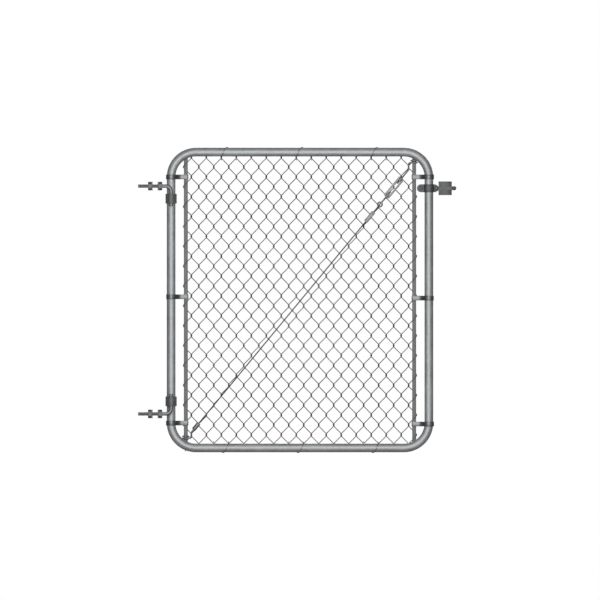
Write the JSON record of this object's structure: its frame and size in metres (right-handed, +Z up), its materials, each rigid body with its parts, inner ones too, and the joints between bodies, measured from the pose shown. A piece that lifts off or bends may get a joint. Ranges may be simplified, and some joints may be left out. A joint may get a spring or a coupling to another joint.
{
  "type": "chain link gate",
  "caption": "Walk gate of woven wire fabric in a bent tube frame, hung on two hook bolts, with a lifting fork latch and a diagonal cable and turnbuckle that keep it square.",
  "frame": {"origin": "centre of the lower inner washer's flat face, which bears on the hinge post; the lower rod runs through it", "axes": "+X along the closed leaf towards the latch, -Y the side that faces the viewer in the picture, +Z up"},
  "size_m": [1.2738, 0.102, 1.2257],
  "materials": {
    "galvanized_tube": "smooth galvanized",
    "galvanized_bar": "dull galvanized",
    "galvanized_strap": "dull galvanized",
    "galvanized_wire": "galvanized wire",
    "tie_wire": "soft aluminium wire",
    "hinge_rod": "dull galvanized",
    "zinc_fastener": "zinc plated",
    "latch_steel": "dark galvanized",
    "truss_hardware": "dull galvanized",
    "steel_cable": "stranded steel cable"
  },
  "bodies": {
    "hinge_hardware": {"upper_hook_bolt": "hinge_rod", "upper_post_outer_nut": "zinc_fastener", "upper_post_inner_nut": "zinc_fastener", "upper_washers": "zinc_fastener", "lower_hook_bolt": "hinge_rod", "lower_post_outer_nut": "zinc_fastener", "lower_post_inner_nut": "zinc_fastener", "lower_washers": "zinc_fastener"},
    "gate_leaf": {"frame_upper_half": "galvanized_tube", "frame_lower_half": "galvanized_tube", "tension_bar_left": "galvanized_bar", "tension_bar_right": "galvanized_bar", "tension_band_left_top": "galvanized_strap", "tension_band_left_middle": "galvanized_strap", "tension_band_left_bottom": "galvanized_strap", "tension_band_right_top": "galvanized_strap", "tension_band_right_middle": "galvanized_strap", "tension_band_right_bottom": "galvanized_strap", "chain_link_fabric_1": "galvanized_wire", "chain_link_fabric_2": "galvanized_wire", "chain_link_fabric_3": "galvanized_wire", "chain_link_fabric_4": "galvanized_wire", "rail_ties_top": "tie_wire", "rail_ties_bottom": "tie_wire", "upper_hinge_strap": "galvanized_strap", "upper_strap_bolt": "zinc_fastener", "upper_strap_nut": "zinc_fastener", "lower_hinge_strap": "galvanized_strap", "lower_strap_bolt": "zinc_fastener", "lower_strap_nut": "zinc_fastener", "latch_collar_front": "latch_steel", "latch_collar_back": "latch_steel", "latch_collar_bolt": "zinc_fastener", "latch_collar_nut": "zinc_fastener", "truss_lower_hook": "truss_hardware", "truss_lower_ferrule": "truss_hardware", "truss_cable": "steel_cable", "truss_cable_clip": "truss_hardware", "turnbuckle_eye_bolt": "truss_hardware", "turnbuckle_body": "truss_hardware", "turnbuckle_hook_bolt": "truss_hardware"},
    "latch_fork": {"latch_fork_front": "latch_steel", "latch_fork_back": "latch_steel", "latch_pivot_bolt": "zinc_fastener", "latch_pivot_nut": "zinc_fastener"}
  },
  "joints": [
    {"name": "gate_swing", "type": "hinge", "parent": "hinge_hardware", "child": "gate_leaf", "pos_m": [0.05376, 0, 0.456], "axis": [0, 0, -1], "range_deg": [-30, 110]},
    {"name": "latch_lift", "type": "hinge", "parent": "gate_leaf", "child": "latch_fork", "pos_m": [1.11564, 0.046, 0.9033], "axis": [0, -1, 0], "range_deg": [0, 90]}
  ]
}
